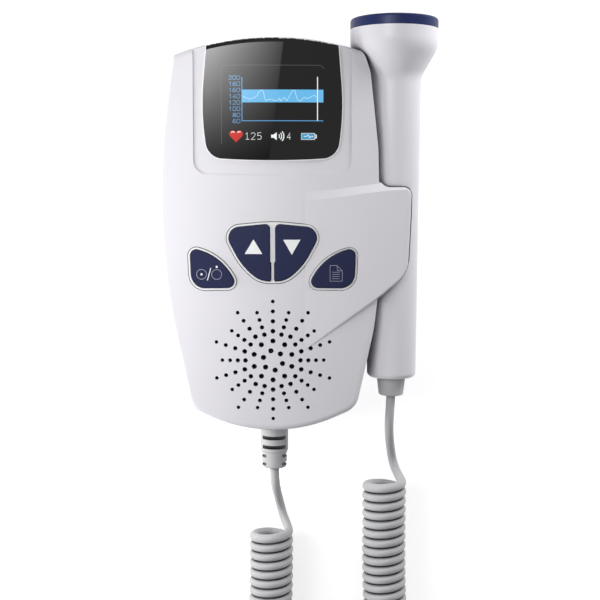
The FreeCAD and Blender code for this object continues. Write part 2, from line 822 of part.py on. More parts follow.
def make_speaker():
    r = size("speaker_r")
    top = size("case_high") - 6.8
    frame = new_body("speaker_basket")
    upright(frame, [
        (17.6, top, 0), (r, top, 0), (r, top - 1.2, 0), (18.2, top - 1.2, 0.5),
        (11.0, top - 6.6, 0.5), (10.0, top - 6.6, 0), (10.0, top - 5.4, 0), (10.6, top - 5.4, 0.5),
        (17.6, top - 0.4, 0.5),
    ], None, "grille_y")
    keep_part("speaker_frame", frame)
    cone = new_body("speaker_cone_body")
    upright(cone, [
        (0, top - 2.6, 0), (4.5, top - 3.9, 1.0), (15.2, top - 0.5, 0.6), (16.4, top, 0.4),
        (17.5, top, 0), (17.5, top - 0.35, 0), (16.4, top - 0.4, 0), (15.2, top - 0.9, 0),
        (4.5, top - 4.4, 0), (0, top - 3.1, 0),
    ], None, "grille_y")
    keep_part("speaker_cone", cone)
    magnet = new_body("magnet")
    low = top - 10.4
    upright(magnet, [(0, low, 0), (9.9, low, 0.6), (9.9, top - 5.5, 0), (0, top - 5.5, 0)],
            None, "grille_y")
    keep_part("speaker_magnet", magnet)
    gasket = block("speaker_gasket", [circle(0, size("grille_y"), r), circle(0, size("grille_y"), 17.7)],
                   "case_high - 6.8", "case_high + 5")
    crown(gasket, "case_high", "crown_rx", size("wall") + 0.03)


def make_screws():
    heads = [circle(x, y, 2.3) for x, y in SCREWS]
    shanks = [circle(x, y, 1.2) for x, y in SCREWS]
    block("case_screws", heads, "wall + 2", "wall + 3.6", [(shanks, "wall + 3.6", "case_plane + 8")])


def make_relief():
    """The slotted strain relief that the cord leaves the case by."""
    body = new_body("relief")
    end = -90.3
    neck = RELIEF_HOLE_R - 0.1
    revolve(body, [
        (0, end, 0), (4.8, end, 0.9), (5.0, -84.0, 0), (5.4, -83.4, 0), (5.45, -72.5, 0.3),
        (neck, -72.5, 0), (neck, -69.2, 0), (5.2, -69.2, 0), (5.2, -67.7, 0), (0, -67.7, 0),
    ], along=(None, "relief_z"))
    doc.recompute()
    front_slots = [e for y in (-77.9, -81.6) for e in box_edges(-4.7, y - 0.7, 4.7, y + 0.7)]
    side_slots = [e for y in (-85.3, -88.6) for e in box_edges(y - 0.6, -3.0, y + 0.6, 3.0)]
    for role, slots, across in (("XY_Plane", front_slots, "relief_z"), ("YZ_Plane", side_slots, "0")):
        up = None if across == "relief_z" else "relief_z"
        for side in (1.0, -1.0):
            sketch = new_sketch(body, role, slots, (None, up, f"{across} + {side * 2.9}"))
            cut = body.newObject("PartDesign::Pocket", "relief_slots")
            cut.Profile = sketch
            cut.Length = 4.0
            cut.Reversed = side > 0
            body.Tip = cut
            doc.recompute()
    keep_part("cable_relief", body)


# -------------------------------------------------------------------- cord

CURL_Z = size("curl_d") / 2
LEAD_UNIT = [
    (0.0, -90.3, 15.0), (0.0, -97.3, 15.0), (1.9, -104.6, 13.6),
    (4.5, -111.2, 10.9), (5.65, -117.0, CURL_Z),
]
LEAD_PROBE = [
    (45.5, -60.7, 18.5), (45.5, -69.6, 18.5), (46.2, -80.2, 16.0),
    (48.6, -89.4, 11.7), (51.75, -97.0, CURL_Z),
]
CURL = [
    (-1.5, -117.0, CURL_Z), (-1.3, -166.0, CURL_Z), (-8.4, -208.0, CURL_Z),
    (-4.5, -236.0, CURL_Z), (9.5, -254.0, CURL_Z), (33.0, -256.5, CURL_Z),
    (49.5, -239.0, CURL_Z), (52.3, -209.0, CURL_Z), (43.4, -160.0, CURL_Z),
    (44.6, -97.0, CURL_Z),
]


def cord_path(points):
    """Straight runs joined by tangent arcs, as large as their runs allow."""
    vectors = [V(*p) for p in points]
    edges = []
    start = vectors[0]
    radii = []
    for before, here, after in zip(vectors, vectors[1:], vectors[2:]):
        to_before = (before - here).normalize()
        to_after = (after - here).normalize()
        half_turn = (math.pi - to_before.getAngle(to_after)) / 2
        run = min((here - before).Length, (after - here).Length)
        reach = 0.45 * run
        radius = reach / math.tan(half_turn)
        radii.append(round(radius, 1))
        first = here + to_before * reach
        last = here + to_after * reach
        towards = (to_before + to_after).normalize()
        middle = here + towards * (radius / math.cos(half_turn) - radius)
        edges.append(Part.LineSegment(start, first).toShape())
        edges.append(Part.Arc(first, middle, last).toShape())
        start = last
    edges.append(Part.LineSegment(start, vectors[-1]).toShape())
    return Part.Wire(edges), radii


def cord_piece(node, points, diameter):
    """One stretch of the cord: a round tube along its route."""
    path, radii = cord_path(points)
    start = V(*points[0])
    along = V(*points[1]) - start
    section = Part.Wire([Part.Circle(start, along, diameter / 2).toShape()])
    tube = path.makePipeShell([section], True, False)
    feature = doc.addObject("Part::Feature", node)
    feature.Shape = tube
    expected = math.pi * diameter**2 / 4 * path.Length
    print(f"{node}: length {path.Length:.1f}, radii {radii}, volume ratio {tube.Volume / expected:.4f}")
    keep_part(node, feature)


def make_cord():
    cord_piece("cord_lead_unit", LEAD_UNIT, size("cord_d"))
    cord_piece("cord_lead_probe", LEAD_PROBE, size("cord_d"))
    cord_piece("cord_curl", CURL, size("curl_d"))


# ------------------------------------------------------------------ output


def check_and_write():
    doc.recompute()
    for thing in doc.Objects:
        if "Invalid" in thing.State or "Error" in thing.State:
            raise RuntimeError(f"{thing.Name} failed: {thing.State}")
    os.makedirs("parts", exist_ok=True)
    for node, thing in PARTS.items():
        shape = thing.Shape
        if shape.isNull() or not shape.isValid() or not shape.Solids:
            raise RuntimeError(f"{node} has no valid solid")
        shape.exportStep(f"parts/{node}.step")
    print(len(PARTS), "sub-parts written")


def main():
    make_probe()
    outer = make_front()
    make_window(outer)
    make_keys()
    make_back()
    make_electronics()
    make_speaker()
    make_screws()
    make_relief()
    make_cord()
    check_and_write()


main()
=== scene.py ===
import math

import bmesh
import bpy
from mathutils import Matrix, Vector


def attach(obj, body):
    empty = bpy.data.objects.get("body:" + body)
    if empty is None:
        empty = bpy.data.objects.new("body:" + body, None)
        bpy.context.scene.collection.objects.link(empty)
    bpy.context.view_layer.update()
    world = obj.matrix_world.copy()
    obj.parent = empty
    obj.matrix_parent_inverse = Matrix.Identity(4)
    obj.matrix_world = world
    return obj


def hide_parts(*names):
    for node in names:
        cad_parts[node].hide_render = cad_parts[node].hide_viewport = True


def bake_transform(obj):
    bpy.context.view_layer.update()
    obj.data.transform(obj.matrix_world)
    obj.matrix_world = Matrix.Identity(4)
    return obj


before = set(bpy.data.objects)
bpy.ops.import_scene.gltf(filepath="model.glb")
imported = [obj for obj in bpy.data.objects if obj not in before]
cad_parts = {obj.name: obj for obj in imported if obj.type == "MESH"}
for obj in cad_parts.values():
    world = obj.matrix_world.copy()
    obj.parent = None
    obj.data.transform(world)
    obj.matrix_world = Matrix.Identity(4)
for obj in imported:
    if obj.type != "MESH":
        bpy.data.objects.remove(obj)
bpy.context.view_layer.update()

bl_info = {
    "name": "Fetal doppler monitor",
    "version": (1, 0, 0),
    "blender": (4, 5, 0),
    "location": "View3D > Sidebar > Doppler",
    "description": "Finishes, printed marks and curly cord of a fetal doppler monitor",
    "category": "Object",
}

MM = 0.001


# ------------------------------------------------------------------ settings


class StageSettings(bpy.types.PropertyGroup):
    """The floor, lamps and camera."""

    camera_x: bpy.props.FloatProperty(
        name="Camera X", description="Camera to the right of the case's middle",
        default=0.0101, unit="LENGTH")
    camera_y: bpy.props.FloatProperty(
        name="Camera Y", description="Camera towards the display end",
        default=0.0196, unit="LENGTH")
    camera_z: bpy.props.FloatProperty(
        name="Camera height", description="Camera above the table",
        default=0.4245, unit="LENGTH")
    camera_tilt: bpy.props.FloatProperty(
        name="Camera tilt", description="Lean of the camera towards the cord",
        default=math.radians(6.1), subtype="ANGLE")
    lens: bpy.props.FloatProperty(
        name="Lens", description="Focal length on a 36 mm sensor",
        default=63.48, unit="CAMERA")
    key_power: bpy.props.FloatProperty(
        name="Key lamp", description="Power of the near lamp over the left side",
        default=0.28, unit="POWER")
    side_power: bpy.props.FloatProperty(
        name="Side lamp", description="Power of the low lamp at the left",
        default=1.27, unit="POWER")
    rim_power: bpy.props.FloatProperty(
        name="Rim lamp", description="Power of the low lamp at the upper right",
        default=1.35, unit="POWER")
    ambient: bpy.props.FloatProperty(
        name="Ambient", description="Strength of the even light from all round",
        default=0.295)
    glare: bpy.props.FloatProperty(
        name="Window glare", description="Brightness of the card that the display window mirrors",
        default=50.0)


class CaseSettings(bpy.types.PropertyGroup):
    """The case and the probe."""

    case_colour: bpy.props.FloatVectorProperty(
        name="Case", description="Colour of the moulded covers",
        subtype="COLOR", size=3, default=(0.78, 0.764, 0.803))
    cap_colour: bpy.props.FloatVectorProperty(
        name="Probe cap", description="Colour of the probe's contact face",
        subtype="COLOR", size=3, default=(0.008, 0.017, 0.088))
    trim_colour: bpy.props.FloatVectorProperty(
        name="Key trim", description="Colour of the trims round the keys",
        subtype="COLOR", size=3, default=(0.88, 0.88, 0.88))
    key_colour: bpy.props.FloatVectorProperty(
        name="Keys", description="Colour of the keys",
        subtype="COLOR", size=3, default=(0.0125, 0.0165, 0.058))
    roughness: bpy.props.FloatProperty(
        name="Case roughness", description="Roughness of the moulded covers",
        default=0.42, min=0.0, max=1.0)
    crown_high: bpy.props.FloatProperty(
        name="Crown height", description="Highest point of the crowned front",
        default=0.034, unit="LENGTH")
    crown_across: bpy.props.FloatProperty(
        name="Crown across", description="Crown radius across the case",
        default=0.190, unit="LENGTH")
    crown_along: bpy.props.FloatProperty(
        name="Crown along", description="Crown radius along the case",
        default=1.400, unit="LENGTH")
    key_proud: bpy.props.FloatProperty(
        name="Keys proud", description="How far the keys stand above the cover",
        default=0.00075, unit="LENGTH")
    mark_lift: bpy.props.FloatProperty(
        name="Print thickness", description="Thickness of the printed marks above their surface",
        default=0.00004, unit="LENGTH")


class PictureSettings(bpy.types.PropertyGroup):
    """The picture on the display."""

    scale_colour: bpy.props.FloatVectorProperty(
        name="Scale", description="Colour of the numbers and axes",
        subtype="COLOR", size=3, default=(0.10, 0.33, 0.62))
    band_colour: bpy.props.FloatVectorProperty(
        name="Band", description="Colour of the band behind the trace",
        subtype="COLOR", size=3, default=(0.13, 0.455, 0.765))
    heart_colour: bpy.props.FloatVectorProperty(
        name="Heart", description="Colour of the heart",
        subtype="COLOR", size=3, default=(0.55, 0.02, 0.014))
    glow: bpy.props.FloatProperty(
        name="Glow", description="Brightness of the lit picture", default=1.0)


class CordSettings(bpy.types.PropertyGroup):
    """The curly cord."""

    colour: bpy.props.FloatVectorProperty(
        name="Cord", description="Colour of the cord and its strain reliefs",
        subtype="COLOR", size=3, default=(0.54, 0.54, 0.55))
    diameter: bpy.props.FloatProperty(
        name="Diameter", description="Diameter of the cord", default=0.0036, unit="LENGTH")
    curl_radius: bpy.props.FloatProperty(
        name="Curl radius", description="Radius of the curly part to the cord's middle",
        default=0.00707, unit="LENGTH")
    pitch: bpy.props.FloatProperty(
        name="Pitch", description="Distance between turns where the cord is straight",
        default=0.0037, unit="LENGTH")


SETTINGS = {
    "doppler_stage": StageSettings,
    "doppler_case": CaseSettings,
    "doppler_picture": PictureSettings,
    "doppler_cord": CordSettings,
}


# ------------------------------------------------------------------ geometry


def crown_height(x, y):
    """Height in metres of the crowned front above a point of the back."""
    case = bpy.context.scene.doppler_case
    along, across = case.crown_along, case.crown_across
    ridge = (across - along) + math.sqrt(along**2 - y**2)
    return (case.crown_high - across) + math.sqrt(ridge**2 - x**2)


def new_object(name, mesh, material, smooth=False):
    """A mesh object in the scene, with one material."""
    mesh.materials.append(material)
    for polygon in mesh.polygons:
        polygon.use_smooth = smooth
    thing = bpy.data.objects.new(name, mesh)
    bpy.context.collection.objects.link(thing)
    return thing


def ribbon(points, width, closed=False):
    """Quadrilaterals along a line of points in millimetres, mitred at its bends."""
    # The cosine of the half bend past which a mitre is cut short.
    sharpest = 0.5
    count = len(points)
    sides = []
    for index, point in enumerate(points):
        here = Vector(point)
        before = Vector(points[index - 1]) if closed or index > 0 else None
        after = Vector(points[(index + 1) % count]) if closed or index < count - 1 else None
        first = (here - before).normalized() if before is not None else None
        second = (after - here).normalized() if after is not None else first
        first = first if first is not None else second
        across = Vector((-(first + second).y, (first + second).x)).normalized()
        reach = width / 2 / max(across.dot(Vector((-first.y, first.x))), sharpest)
        sides.append((here + across * reach, here - across * reach))
    if closed:
        sides.append(sides[0])
    return [[a[0], a[1], b[1], b[0]] for a, b in zip(sides, sides[1:])]


def disc(x, y, radius, steps=20):
    """The outline of a filled round, in millimetres."""
    angles = [2 * math.pi * k / steps for k in range(steps)]
    return [(x + radius * math.cos(a), y + radius * math.sin(a)) for a in angles]


def arc_points(x, y, radius, start, end, steps=12):
    """Points along an arc, its angles in degrees."""
    angles = [math.radians(start + (end - start) * k / steps) for k in range(steps + 1)]
    return [(x + radius * math.cos(a), y + radius * math.sin(a)) for a in angles]


def top_outline(node):
    """The outer edge of a node's upper face, as points in millimetres."""
    upward = 0.7
    under_crown = 0.6 * MM
    made = bmesh.new()
    made.from_mesh(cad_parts[node].data)
    bmesh.ops.remove_doubles(made, verts=made.verts, dist=1e-6)
    upper = set()
    for face in made.faces:
        middle = face.calc_center_median()
        lowest = crown_height(middle.x, middle.y) - under_crown
        if face.normal.z > upward and middle.z > lowest:
            upper.add(face)
    edge_faces = {edge: sum(face in upper for face in edge.link_faces) for edge in made.edges}
    left = {edge for edge, count in edge_faces.items() if count == 1}
    loops = []
    while left:
        edge = left.pop()
        loop = [edge.verts[0], edge.verts[1]]
        while True:
            after = [other for other in loop[-1].link_edges if other in left]
            if not after:
                break
            left.remove(after[0])
            loop.append(after[0].other_vert(loop[-1]))
        loops.append([(vert.co.x / MM, vert.co.y / MM) for vert in loop[:-1]])
    made.free()
    return max(loops, key=lambda loop: max(p[0] for p in loop) - min(p[0] for p in loop))


def grown(points, by):
    """A closed outline moved outwards, in millimetres."""
    area = sum(a[0] * b[1] - b[0] * a[1] for a, b in zip(points, points[1:] + points[:1]))
    turn = 1.0 if area > 0 else -1.0
    moved = []
    for index, point in enumerate(points):
        before, after = Vector(points[index - 1]), Vector(points[(index + 1) % len(points)])
        along = (after - before).normalized()
        moved.append((point[0] + turn * along.y * by, point[1] - turn * along.x * by))
    return moved


def printed(name, shapes, material, body, lift, flat=False):
    """Thin closed marks on the crowned front, or flat at a height.

    The shapes are outlines in millimetres, cut on a grid so that they follow the crown. The
    lift is in metres.
    """
    grid = 1.5
    touching = 0.002
    case = bpy.context.scene.doppler_case
    made = bmesh.new()
    for shape in shapes:
        made.faces.new([made.verts.new((p[0], p[1], 0)) for p in shape])
    bmesh.ops.remove_doubles(made, verts=made.verts, dist=touching)
    for axis in (0, 1):
        values = [v.co[axis] for v in made.verts]
        low, high = min(values), max(values)
        for step in range(int((high - low) / grid)):
            place = Vector((0, 0, 0))
            normal = Vector((0, 0, 0))
            place[axis] = low + grid * (step + 1)
            normal[axis] = 1
            whole = made.verts[:] + made.edges[:] + made.faces[:]
            bmesh.ops.bisect_plane(made, geom=whole, plane_co=place, plane_no=normal)
    bmesh.ops.triangulate(made, faces=made.faces)
    bmesh.ops.recalc_face_normals(made, faces=made.faces)
    if sum(face.normal.z * face.calc_area() for face in made.faces) < 0:
        bmesh.ops.reverse_faces(made, faces=made.faces)
    extruded = bmesh.ops.extrude_face_region(made, geom=made.faces[:])
    below = {v for v in extruded["geom"] if isinstance(v, bmesh.types.BMVert)}
    for vert in made.verts:
        x, y = vert.co.x * MM, vert.co.y * MM
        height = lift if flat else crown_height(x, y) + lift
        depth = case.mark_lift if vert not in below else -case.mark_lift
        vert.co = Vector((x, y, height + depth))
    bmesh.ops.recalc_face_normals(made, faces=made.faces)
    mesh = bpy.data.meshes.new(name)
    made.to_mesh(mesh)
    made.free()
    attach(new_object(name, mesh, material), body)


# ----------------------------------------------------------------- materials

WINDOW_IOR = 1.3

# The bands of painted shade over the strain relief's slots, in millimetres: their middles along
# the case, half their width, and whether they lie less or more than a distance from the middle
# line.
SLOT_SHADE_BANDS = (
    ((-77.9, -81.6), 0.72, "LESS_THAN", 4.5),
    ((-85.3, -88.6), 0.62, "GREATER_THAN", 3.1),
)


def shader(name):
    """A new material, with its node tree and its main shader."""
    material = bpy.data.materials.new(name)
    material.use_nodes = True
    tree = material.node_tree
    return material, tree, tree.nodes["Principled BSDF"]


def noise(tree, scale, detail=2.0):
    """The value of a noise texture that is fixed to the object."""
    place = tree.nodes.new("ShaderNodeTexCoord")
    texture = tree.nodes.new("ShaderNodeTexNoise")
    texture.inputs["Scale"].default_value = scale
    texture.inputs["Detail"].default_value = detail
    tree.links.new(place.outputs["Object"], texture.inputs["Vector"])
    return texture.outputs["Fac"]


def ranged(tree, value, low, high=1.0, start=0.0, end=1.0):
    """A value that goes from low to high while another goes from start to end."""
    node = tree.nodes.new("ShaderNodeMapRange")
    node.inputs["From Min"].default_value = start
    node.inputs["From Max"].default_value = end
    node.inputs["To Min"].default_value = low
    node.inputs["To Max"].default_value = high
    tree.links.new(value, node.inputs["Value"])
    return node.outputs["Result"]


def blended(tree, share, first, second):
    """The colour a share of the way from one to another, each a colour or a socket."""
    node = tree.nodes.new("ShaderNodeMix")
    node.data_type = "RGBA"
    tree.links.new(share, node.inputs["Factor"])
    for socket, colour in ((node.inputs["A"], first), (node.inputs["B"], second)):
        if isinstance(colour, bpy.types.NodeSocket):
            tree.links.new(colour, socket)
        else:
            socket.default_value = (*colour, 1.0)
    return node.outputs["Result"]


def maths(tree, operation, first, second=None, third=None):
    """The value of a maths node, its inputs sockets or numbers."""
    node = tree.nodes.new("ShaderNodeMath")
    node.operation = operation
    for index, value in enumerate((first, second, third)):
        if isinstance(value, (int, float)):
            node.inputs[index].default_value = value
        elif value is not None:
            tree.links.new(value, node.inputs[index])
    return node.outputs["Value"]


def moulded(name, colour, roughness, grain=2600.0, depth=0.035, mottle=0.03, shine=0.5):
    """Moulded plastic: fine spark texture, faint mottling and uneven gloss."""
    gloss_spread = 0.05
    material, tree, surface = shader(name)
    surface.inputs["Specular IOR Level"].default_value = shine

    bump = tree.nodes.new("ShaderNodeBump")
    bump.inputs["Strength"].default_value = depth
    bump.inputs["Distance"].default_value = 0.2 * MM
    tree.links.new(noise(tree, grain, detail=3.0), bump.inputs["Height"])
    tree.links.new(bump.outputs["Normal"], surface.inputs["Normal"])

    cloud = noise(tree, 70.0, detail=4.0)
    darker = [c * (1.0 - mottle) for c in colour]
    lighter = [min(c * (1.0 + mottle), 1.0) for c in colour]
    tree.links.new(blended(tree, cloud, darker, lighter), surface.inputs["Base Color"])
    gloss = ranged(tree, cloud, roughness - gloss_spread, roughness + gloss_spread)
    tree.links.new(gloss, surface.inputs["Roughness"])
    return material


def crevices(material, reach, dark=0.12, closed=0.2, clear=0.85):
    """Paint shade into a colour where another surface stands close, as in creases, gaps and
    holes.

    The colour goes from its dark share, where no more than the closed share of the space
    within reach is open, to its full strength at the clear share.
    """
    tree = material.node_tree
    base = tree.nodes["Principled BSDF"].inputs["Base Color"]
    plain = base.links[0].from_socket
    near = tree.nodes.new("ShaderNodeAmbientOcclusion")
    near.samples = 8
    near.inputs["Distance"].default_value = reach
    share = ranged(tree, near.outputs["AO"], dark, start=closed, end=clear)
    tree.links.new(blended(tree, share, (0.0, 0.0, 0.0), plain), base)
    return material


def slotted(material):
    """Paint shade over the strain relief's front and side slots."""
    tree = material.node_tree
    base = tree.nodes["Principled BSDF"].inputs["Base Color"]
    plain = base.links[0].from_socket
    place = tree.nodes.new("ShaderNodeTexCoord")
    parts = tree.nodes.new("ShaderNodeSeparateXYZ")
    tree.links.new(place.outputs["Object"], parts.inputs["Vector"])
    across = maths(tree, "ABSOLUTE", parts.outputs["X"])
    dark = 0.0
    for places, half_wide, side, limit in SLOT_SHADE_BANDS:
        beside = maths(tree, side, across, limit * MM)
        for middle in places:
            here = maths(tree, "COMPARE", parts.outputs["Y"], middle * MM, half_wide * MM)
            dark = maths(tree, "MAXIMUM", maths(tree, "MULTIPLY", here, beside), dark)
    # The slots' painted shade.
    tree.links.new(blended(tree, dark, plain, (0.11, 0.11, 0.113)), base)
    return material


def lit(name, colour, strength):
    """A lit part of the display's picture, under the window's gloss."""
    unlit_share, dim_share = 0.15, 0.9
    material, tree, surface = shader(name)
    surface.inputs["Base Color"].default_value = (*[c * unlit_share for c in colour], 1.0)
    surface.inputs["Roughness"].default_value = 0.07
    surface.inputs["IOR"].default_value = WINDOW_IOR
    dots = noise(tree, 900.0)
    dimmer = [c * dim_share for c in colour]
    tree.links.new(blended(tree, dots, dimmer, colour), surface.inputs["Emission Color"])
    surface.inputs["Emission Strength"].default_value = strength
    return material


def pane_black(name):
    """The display window: clear plastic printed black from behind."""
    material, tree, surface = shader(name)
    surface.inputs["IOR"].default_value = WINDOW_IOR
    cloud = noise(tree, 40.0)
    black = blended(tree, cloud, (0.0055, 0.0055, 0.0058), (0.0075, 0.0075, 0.0078))
    tree.links.new(black, surface.inputs["Base Color"])
    tree.links.new(ranged(tree, cloud, 0.015, 0.035), surface.inputs["Roughness"])
    return material


def brushed(name, colour):
    """Plain metal with a fine brushed finish."""
    material = moulded(name, colour, 0.32, grain=1400.0, depth=0.05, mottle=0.08)
    material.node_tree.nodes["Principled BSDF"].inputs["Metallic"].default_value = 1.0
    return material


def shown_rays(tree):
    """1 for rays that show what they meet: straight on, mirrored or through glass."""
    path = tree.nodes.new("ShaderNodeLightPath")
    first = maths(tree, "MAXIMUM", path.outputs["Is Camera Ray"], path.outputs["Is Glossy Ray"])
    return maths(tree, "MAXIMUM", first, path.outputs["Is Transmission Ray"])


def lights_or_shows(tree, lighting, shown):
    """One shader for the light that a thing throws, and another where it is seen."""
    mix = tree.nodes.new("ShaderNodeMixShader")
    tree.links.new(shown_rays(tree), mix.inputs["Fac"])
    tree.links.new(lighting, mix.inputs[1])
    tree.links.new(shown, mix.inputs[2])
    return mix.outputs["Shader"]


def dress(material, *nodes):
    """Give carried-over nodes a finish."""
    for name in nodes:
        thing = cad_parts[name]
        if not thing.material_slots:
            thing.data.materials.append(material)
        for slot in thing.material_slots:
            slot.material = material


# ------------------------------------------------------------------ numerals

# Each numeral is one or more strokes in a box one unit wide and two high.
STROKES = {
    "0": [[(0.25, 0), (0, 0.35), (0, 1.65), (0.25, 2), (0.75, 2), (1, 1.65), (1, 0.35),
           (0.75, 0), (0.25, 0)]],
    "1": [[(0.2, 1.6), (0.55, 2), (0.55, 0)]],
    "2": [[(0, 1.6), (0.2, 1.95), (0.75, 2), (1, 1.6), (0.95, 1.2), (0, 0), (1, 0)]],
    "4": [[(0.75, 0), (0.75, 2), (0, 0.6), (1, 0.6)]],
    "5": [[(0.95, 2), (0.1, 2), (0.05, 1.15), (0.6, 1.25), (1, 0.9), (0.95, 0.25), (0.55, 0),
           (0, 0.2)]],
    "6": [[(0.9, 1.8), (0.6, 2), (0.15, 1.7), (0, 1), (0.05, 0.3), (0.4, 0), (0.85, 0.15),
           (1, 0.6), (0.8, 1.05), (0.4, 1.15), (0.03, 0.8)]],
    "8": [[(0.5, 1.08), (0.1, 1.35), (0.1, 1.75), (0.5, 2), (0.9, 1.75), (0.9, 1.35),
           (0.5, 1.08), (0, 0.75), (0, 0.25), (0.5, 0), (1, 0.25), (1, 0.75), (0.5, 1.08)]],
}
BOX_HIGH = 2


def numerals(text, right, foot, wide, high, gap, stroke):
    """The ribbons of a number, from its right end and its foot, in millimetres."""
    shapes = []
    left = right - len(text) * wide - (len(text) - 1) * gap
    for index, digit in enumerate(text):
        start = left + index * (wide + gap)
        for line in STROKES[digit]:
            points = [(start + x * wide, foot + y * high / BOX_HIGH) for x, y in line]
            shapes += ribbon(points, stroke)
    return shapes


# ----------------------------------------------------------------- operators


class DOPPLER_OT_stage(bpy.types.Operator):
    """Make the camera, the table, the soft lamps and the card that the window mirrors"""

    bl_idname = "doppler.stage"
    bl_label = "Table, lamps and camera"

    # Each lamp's place and the width of its disc, in metres, and the setting for its power.
    LAMPS = (
        ("key_lamp", (-0.16, 0.0, 0.20), 0.16, "key_power"),
        ("side_lamp", (-0.40, -0.05, 0.10), 0.18, "side_power"),
        ("rim_lamp", (0.32, 0.28, 0.07), 0.20, "rim_power"),
    )
    LAMPS_AIM = Vector((0.01, -0.02, 0.02))
    TABLE_HALF = 3.0
    # The card that the window mirrors, in metres.
    CARD_HEIGHT = 0.63
    CARD_CORNERS = ((-0.27, 0.02), (-0.043, 0.02), (0.035, 0.26), (-0.27, 0.26))

    def execute(self, context):
        stage = context.scene.doppler_stage
        self.camera(context.scene, stage)
        self.world(context.scene, stage)
        self.table()
        self.glare(stage)
        for name, place, wide, power in self.LAMPS:
            self.lamp(name, Vector(place), wide, getattr(stage, power))
        return {"FINISHED"}

    def lamp(self, name, place, wide, power):
        """A soft round lamp that no glossy surface mirrors."""
        lamp = bpy.data.lights.new(name, "AREA")
        lamp.energy = power
        lamp.shape = "DISK"
        lamp.size = wide
        thing = bpy.data.objects.new(name, lamp)
        thing.location = place
        thing.rotation_euler = (self.LAMPS_AIM - place).to_track_quat("-Z", "Y").to_euler()
        thing.visible_glossy = False
        bpy.context.collection.objects.link(thing)

    def camera(self, scene, stage):
        """A camera that looks down at the case and leans towards the cord."""
        lens = bpy.data.cameras.new("camera")
        lens.lens = stage.lens
        lens.sensor_width = 36.0
        lens.clip_start = 0.01
        view = bpy.data.objects.new("camera", lens)
        view.location = (stage.camera_x, stage.camera_y, stage.camera_z)
        view.rotation_euler = (-stage.camera_tilt, 0.0, 0.0)
        bpy.context.collection.objects.link(view)
        scene.camera = view
        scene.view_settings.view_transform = "Standard"

    def world(self, scene, stage):
        """Even light from all round, seen as plain white."""
        world = bpy.data.worlds.new("studio")
        scene.world = world
        world.use_nodes = True
        tree = world.node_tree
        light = tree.nodes["Background"]
        light.inputs["Color"].default_value = (0.97, 0.98, 1.0, 1.0)
        light.inputs["Strength"].default_value = stage.ambient
        white = tree.nodes.new("ShaderNodeBackground")
        white.inputs["Color"].default_value = (1.0, 1.0, 1.0, 1.0)
        both = lights_or_shows(tree, light.outputs["Background"], white.outputs["Background"])
        tree.links.new(both, tree.nodes["World Output"].inputs["Surface"])

    def flat_mesh(self, name, corners, height):
        """The mesh of one level face."""
        mesh = bpy.data.meshes.new(name)
        mesh.from_pydata([(x, y, height) for x, y in corners], [], [(0, 1, 2, 3)])
        return mesh

    def table(self):
        """A pale matt table, lifted to white where it is seen."""
        material, tree, surface = shader("table_white")
        surface.inputs["Base Color"].default_value = (0.78, 0.78, 0.79, 1.0)
        surface.inputs["Roughness"].default_value = 0.9
        lift = tree.nodes.new("ShaderNodeEmission")
        lift.inputs["Strength"].default_value = 0.66
        lifted = tree.nodes.new("ShaderNodeAddShader")
        tree.links.new(surface.outputs["BSDF"], lifted.inputs[0])
        tree.links.new(lift.outputs["Emission"], lifted.inputs[1])
        both = lights_or_shows(tree, surface.outputs["BSDF"], lifted.outputs["Shader"])
        tree.links.new(both, tree.nodes["Material Output"].inputs["Surface"])
        half = self.TABLE_HALF
        corners = ((-half, -half), (half, -half), (half, half), (-half, half))
        new_object("table", self.flat_mesh("table", corners, 0.0), material)

    def glare(self, stage):
        """A card that only glossy surfaces show, brightest at its far left corner."""
        dimmest = 0.13
        material, tree, surface = shader("glare_card")
        tree.nodes.remove(surface)
        place = tree.nodes.new("ShaderNodeTexCoord")
        parts = tree.nodes.new("ShaderNodeSeparateXYZ")
        tree.links.new(place.outputs["Generated"], parts.inputs["Vector"])
        leftwards = ranged(tree, parts.outputs["X"], dimmest, start=1.0, end=0.0)
        across = maths(tree, "POWER", leftwards, 1.25)
        along = maths(tree, "POWER", parts.outputs["Y"], 2.22)
        strength = maths(tree, "MULTIPLY", maths(tree, "MULTIPLY", across, along), stage.glare)
        glow = tree.nodes.new("ShaderNodeEmission")
        tree.links.new(strength, glow.inputs["Strength"])
        tree.links.new(glow.outputs["Emission"], tree.nodes["Material Output"].inputs["Surface"])
        mesh = self.flat_mesh("glare_card", self.CARD_CORNERS, self.CARD_HEIGHT)
        card = new_object("glare_card", mesh, material)
        card.visible_camera = False
        card.visible_diffuse = False
        card.visible_shadow = False
        card.visible_transmission = False


